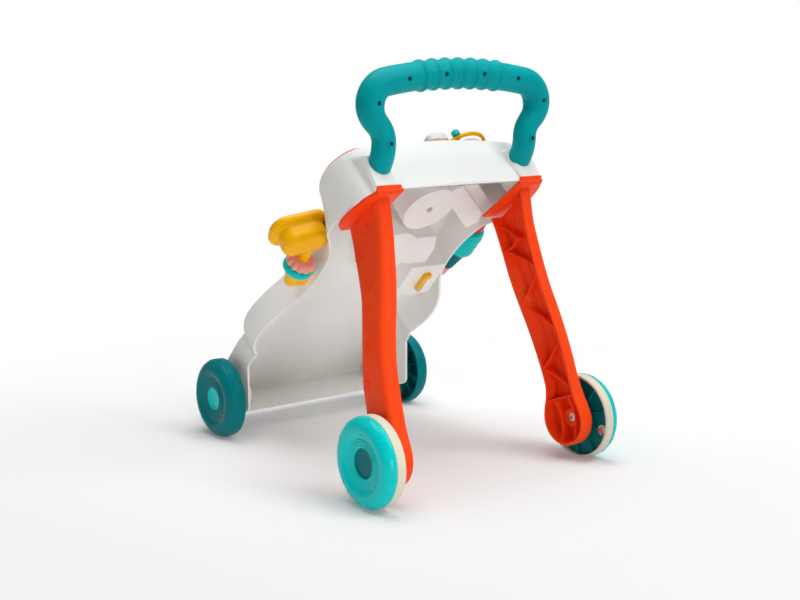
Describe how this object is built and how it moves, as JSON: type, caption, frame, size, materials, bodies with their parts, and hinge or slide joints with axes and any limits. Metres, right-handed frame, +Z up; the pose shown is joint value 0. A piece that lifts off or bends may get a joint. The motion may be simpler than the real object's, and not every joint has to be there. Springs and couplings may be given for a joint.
{
  "type": "push-along baby walker",
  "caption": "Push-along activity walker: a leaning toy panel on small wheels, splayed legs on larger wheels and a ringed push handle.",
  "frame": {"origin": "on the floor under the middle of the bounding box", "axes": "+X to the right of the child who pushes it, +Y forward in the direction of travel, +Z up"},
  "size_m": [0.3432, 0.462, 0.4706],
  "materials": {
    "white_abs": "moulded, satin",
    "red_abs": "moulded, satin",
    "teal_abs": "moulded, satin",
    "steel": "zinc plated",
    "orange_abs": "moulded, satin",
    "yellow_abs": "moulded, satin",
    "pink_abs": "moulded, satin",
    "dark_teal_abs": "moulded, satin",
    "aqua_abs": "moulded, satin",
    "cream_abs": "moulded, satin"
  },
  "bodies": {
    "frame": {"panel_shell": "white_abs", "dial_base": "white_abs", "front_fascia": "red_abs", "stack_cap": "red_abs", "handle_front_half": "teal_abs", "handle_back_half": "teal_abs", "handle_screws": "steel", "leg_screws": "steel", "axle_retainers": "steel", "left_leg": "orange_abs", "right_leg": "orange_abs", "rattle_block": "yellow_abs", "rattle_cup": "yellow_abs", "rattle_post": "yellow_abs", "stack_post": "pink_abs", "rear_left_axle": "steel", "front_left_axle": "steel", "rear_right_axle": "steel", "front_right_axle": "steel"},
    "rear_left_wheel": {"rear_left_dome": "aqua_abs", "rear_left_grip_ring": "cream_abs", "rear_left_inner_disc": "dark_teal_abs", "rear_left_hub_cap": "dark_teal_abs", "rear_left_wheel_screws": "steel"},
    "front_left_wheel": {"front_left_wheel": "dark_teal_abs", "front_left_hub_cap": "aqua_abs"},
    "rear_right_wheel": {"rear_right_dome": "aqua_abs", "rear_right_grip_ring": "cream_abs", "rear_right_inner_disc": "dark_teal_abs", "rear_right_hub_cap": "dark_teal_abs", "rear_right_wheel_screws": "steel"},
    "front_right_wheel": {"front_right_wheel": "dark_teal_abs", "front_right_hub_cap": "aqua_abs"},
    "pink_ring": {"rattle_pink_ring": "pink_abs"},
    "teal_ring": {"rattle_teal_ring": "aqua_abs"},
    "roller": {"stack_roller": "aqua_abs"},
    "drum": {"stack_drum": "dark_teal_abs"},
    "cone": {"stack_cone": "pink_abs"},
    "spinner": {"spinner_flower": "yellow_abs", "spinner_cap": "red_abs", "spinner_screw": "steel"},
    "gear": {"rattle_gear": "dark_teal_abs", "rattle_gear_cap": "yellow_abs", "rattle_gear_screw": "steel"},
    "dial": {"dial_ring": "yellow_abs", "dial_knob": "aqua_abs"},
    "button": {"melody_button": "white_abs"},
    "lever": {"lever_arm": "yellow_abs", "lever_clip": "yellow_abs", "lever_screw": "steel"}
  },
  "joints": [
    {"name": "rear_left_wheel_spin", "type": "hinge", "parent": "frame", "child": "rear_left_wheel", "pos_m": [-0.155, -0.181, 0.05], "axis": [1, 0, 0], "continuous": true},
    {"name": "front_left_wheel_spin", "type": "hinge", "parent": "frame", "child": "front_left_wheel", "pos_m": [-0.146, 0.1603, 0.0495], "axis": [1, 0, 0], "continuous": true},
    {"name": "rear_right_wheel_spin", "type": "hinge", "parent": "frame", "child": "rear_right_wheel", "pos_m": [0.155, -0.181, 0.05], "axis": [1, 0, 0], "continuous": true},
    {"name": "front_right_wheel_spin", "type": "hinge", "parent": "frame", "child": "front_right_wheel", "pos_m": [0.146, 0.1603, 0.0495], "axis": [1, 0, 0], "continuous": true},
    {"name": "pink_ring_spin", "type": "hinge", "parent": "frame", "child": "pink_ring", "pos_m": [-0.12, 0.00488, 0.23937], "axis": [0, -0.6947, 0.7193], "continuous": true},
    {"name": "teal_ring_spin", "type": "hinge", "parent": "frame", "child": "teal_ring", "pos_m": [-0.12, 0.01252, 0.23145], "axis": [0, -0.6947, 0.7193], "continuous": true},
    {"name": "roller_spin", "type": "hinge", "parent": "frame", "child": "roller", "pos_m": [0.121, -0.0013, 0.25008], "axis": [0, -0.6947, 0.7193], "continuous": true},
    {"name": "drum_spin", "type": "hinge", "parent": "frame", "child": "drum", "pos_m": [0.121, 0.02441, 0.22347], "axis": [0, -0.6947, 0.7193], "continuous": true},
    {"name": "cone_spin", "type": "hinge", "parent": "frame", "child": "cone", "pos_m": [0.121, 0.04177, 0.20549], "axis": [0, -0.6947, 0.7193], "continuous": true},
    {"name": "spinner_spin", "type": "hinge", "parent": "frame", "child": "spinner", "pos_m": [0, -0.05751, 0.3237], "axis": [0, 0.7193, 0.6947], "continuous": true},
    {"name": "gear_spin", "type": "hinge", "parent": "frame", "child": "gear", "pos_m": [-0.013, -0.00194, 0.26615], "axis": [0, 0.7193, 0.6947], "continuous": true},
    {"name": "dial_spin", "type": "hinge", "parent": "frame", "child": "dial", "pos_m": [0.064, -0.06183, 0.35984], "axis": [0, 0.7193, 0.6947], "continuous": true},
    {"name": "lever_swing", "type": "hinge", "parent": "frame", "child": "lever", "pos_m": [0.07, 0.03136, 0.18848], "axis": [0, 0.7193, 0.6947], "range_deg": [-18, 18]},
    {"name": "button_press", "type": "slide", "parent": "frame", "child": "button", "axis": [0, -0.7193, -0.6947], "range_m": [0, 0.003], "stiffness_N_per_m": 400}
  ]
}
